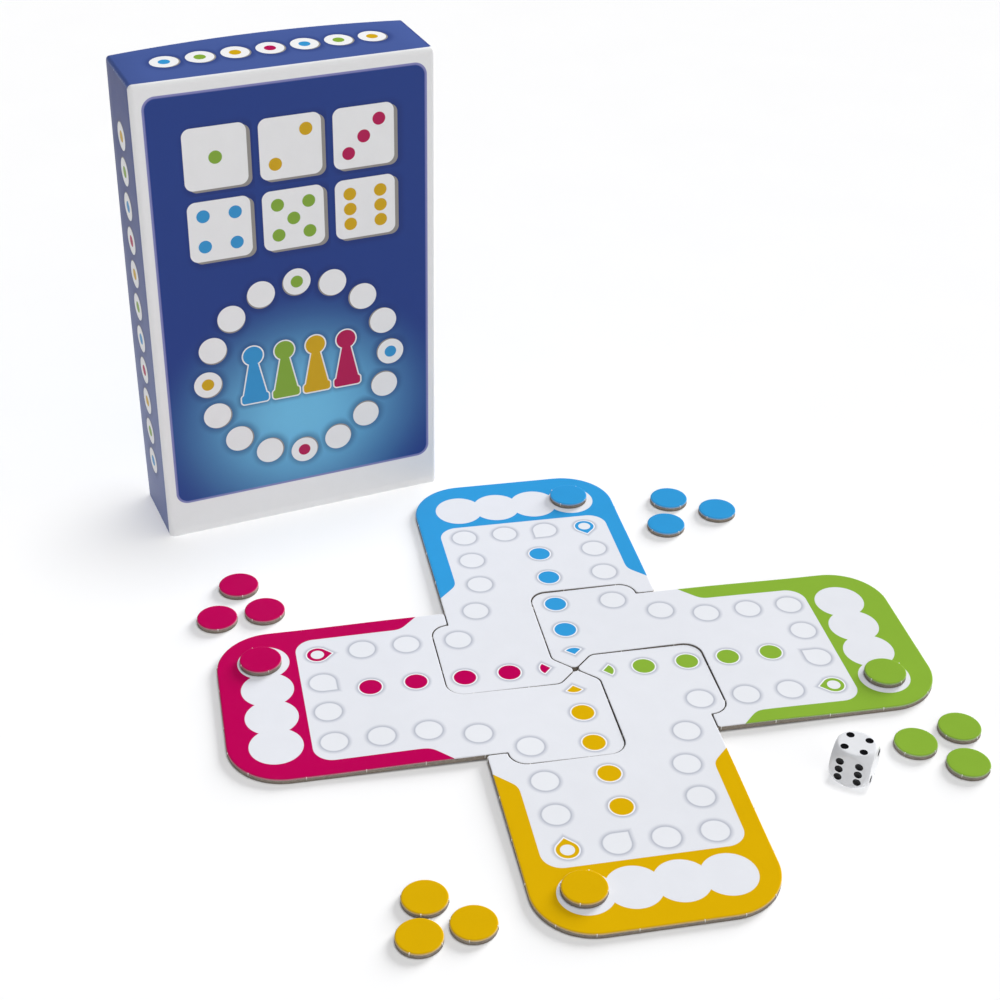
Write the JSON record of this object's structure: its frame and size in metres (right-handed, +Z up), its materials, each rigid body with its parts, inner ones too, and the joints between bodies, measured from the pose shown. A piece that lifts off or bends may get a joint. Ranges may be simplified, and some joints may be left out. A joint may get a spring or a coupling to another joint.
{
  "type": "travel ludo game",
  "caption": "Travel ludo set: lift-off cardboard box standing on end, cross-shaped board of interlocking panels, round counters in the players' colours and a die.",
  "frame": {"origin": "middle of the closed box's foot, on the table", "axes": "+X along the box's width, printed front of the box facing -Y, +Z up"},
  "size_m": [0.2568, 0.3009, 0.186],
  "materials": {
    "box_wrap": "printed paper wrap, satin laminate",
    "tray_wrap": "plain paper wrap, matt",
    "leaflet_paper": "matt printed paper",
    "blue_print": "printed greyboard, satin",
    "green_print": "printed greyboard, satin",
    "yellow_print": "printed greyboard, satin",
    "magenta_print": "printed greyboard, satin",
    "die_plastic": "moulded gloss with black pips"
  },
  "bodies": {
    "box_lid": {"box_lid": "box_wrap"},
    "box_tray": {"box_tray": "tray_wrap", "rules_leaflet": "leaflet_paper"},
    "blue_panel": {"blue_panel": "blue_print"},
    "green_panel": {"green_panel": "green_print"},
    "yellow_panel": {"yellow_panel": "yellow_print"},
    "magenta_panel": {"magenta_panel": "magenta_print"},
    "blue_counter_1": {"blue_counter_1": "blue_print"},
    "blue_counter_2": {"blue_counter_2": "blue_print"},
    "blue_counter_3": {"blue_counter_3": "blue_print"},
    "blue_counter_4": {"blue_counter_4": "blue_print"},
    "green_counter_1": {"green_counter_1": "green_print"},
    "green_counter_2": {"green_counter_2": "green_print"},
    "green_counter_3": {"green_counter_3": "green_print"},
    "green_counter_4": {"green_counter_4": "green_print"},
    "yellow_counter_1": {"yellow_counter_1": "yellow_print"},
    "yellow_counter_2": {"yellow_counter_2": "yellow_print"},
    "yellow_counter_3": {"yellow_counter_3": "yellow_print"},
    "yellow_counter_4": {"yellow_counter_4": "yellow_print"},
    "magenta_counter_1": {"magenta_counter_1": "magenta_print"},
    "magenta_counter_2": {"magenta_counter_2": "magenta_print"},
    "magenta_counter_3": {"magenta_counter_3": "magenta_print"},
    "magenta_counter_4": {"magenta_counter_4": "magenta_print"},
    "die": {"die": "die_plastic"}
  },
  "joints": [
    {"name": "tray_pull", "type": "slide", "parent": "box_lid", "child": "box_tray", "axis": [0, 1, 0], "range_m": [0, 0.06]},
    {"name": "blue_panel_lift", "type": "slide", "parent": "box_lid", "child": "blue_panel", "axis": [0, 0, 1], "range_m": [0, 0.06]},
    {"name": "green_panel_lift", "type": "slide", "parent": "box_lid", "child": "green_panel", "axis": [0, 0, 1], "range_m": [0, 0.06]},
    {"name": "yellow_panel_lift", "type": "slide", "parent": "box_lid", "child": "yellow_panel", "axis": [0, 0, 1], "range_m": [0, 0.06]},
    {"name": "magenta_panel_lift", "type": "slide", "parent": "box_lid", "child": "magenta_panel", "axis": [0, 0, 1], "range_m": [0, 0.06]},
    {"name": "blue_counter_1_lift", "type": "slide", "parent": "blue_panel", "child": "blue_counter_1", "axis": [0, 0, 1], "range_m": [0, 0.06]},
    {"name": "blue_counter_2_lift", "type": "slide", "parent": "box_lid", "child": "blue_counter_2", "axis": [0, 0, 1], "range_m": [0, 0.06]},
    {"name": "blue_counter_3_lift", "type": "slide", "parent": "box_lid", "child": "blue_counter_3", "axis": [0, 0, 1], "range_m": [0, 0.06]},
    {"name": "blue_counter_4_lift", "type": "slide", "parent": "box_lid", "child": "blue_counter_4", "axis": [0, 0, 1], "range_m": [0, 0.06]},
    {"name": "green_counter_1_lift", "type": "slide", "parent": "green_panel", "child": "green_counter_1", "axis": [0, 0, 1], "range_m": [0, 0.06]},
    {"name": "green_counter_2_lift", "type": "slide", "parent": "box_lid", "child": "green_counter_2", "axis": [0, 0, 1], "range_m": [0, 0.06]},
    {"name": "green_counter_3_lift", "type": "slide", "parent": "box_lid", "child": "green_counter_3", "axis": [0, 0, 1], "range_m": [0, 0.06]},
    {"name": "green_counter_4_lift", "type": "slide", "parent": "box_lid", "child": "green_counter_4", "axis": [0, 0, 1], "range_m": [0, 0.06]},
    {"name": "yellow_counter_1_lift", "type": "slide", "parent": "yellow_panel", "child": "yellow_counter_1", "axis": [0, 0, 1], "range_m": [0, 0.06]},
    {"name": "yellow_counter_2_lift", "type": "slide", "parent": "box_lid", "child": "yellow_counter_2", "axis": [0, 0, 1], "range_m": [0, 0.06]},
    {"name": "yellow_counter_3_lift", "type": "slide", "parent": "box_lid", "child": "yellow_counter_3", "axis": [0, 0, 1], "range_m": [0, 0.06]},
    {"name": "yellow_counter_4_lift", "type": "slide", "parent": "box_lid", "child": "yellow_counter_4", "axis": [0, 0, 1], "range_m": [0, 0.06]},
    {"name": "magenta_counter_1_lift", "type": "slide", "parent": "magenta_panel", "child": "magenta_counter_1", "axis": [0, 0, 1], "range_m": [0, 0.06]},
    {"name": "magenta_counter_2_lift", "type": "slide", "parent": "box_lid", "child": "magenta_counter_2", "axis": [0, 0, 1], "range_m": [0, 0.06]},
    {"name": "magenta_counter_3_lift", "type": "slide", "parent": "box_lid", "child": "magenta_counter_3", "axis": [0, 0, 1], "range_m": [0, 0.06]},
    {"name": "magenta_counter_4_lift", "type": "slide", "parent": "box_lid", "child": "magenta_counter_4", "axis": [0, 0, 1], "range_m": [0, 0.06]},
    {"name": "die_lift", "type": "slide", "parent": "box_lid", "child": "die", "axis": [0, 0, 1], "range_m": [0, 0.06]}
  ]
}
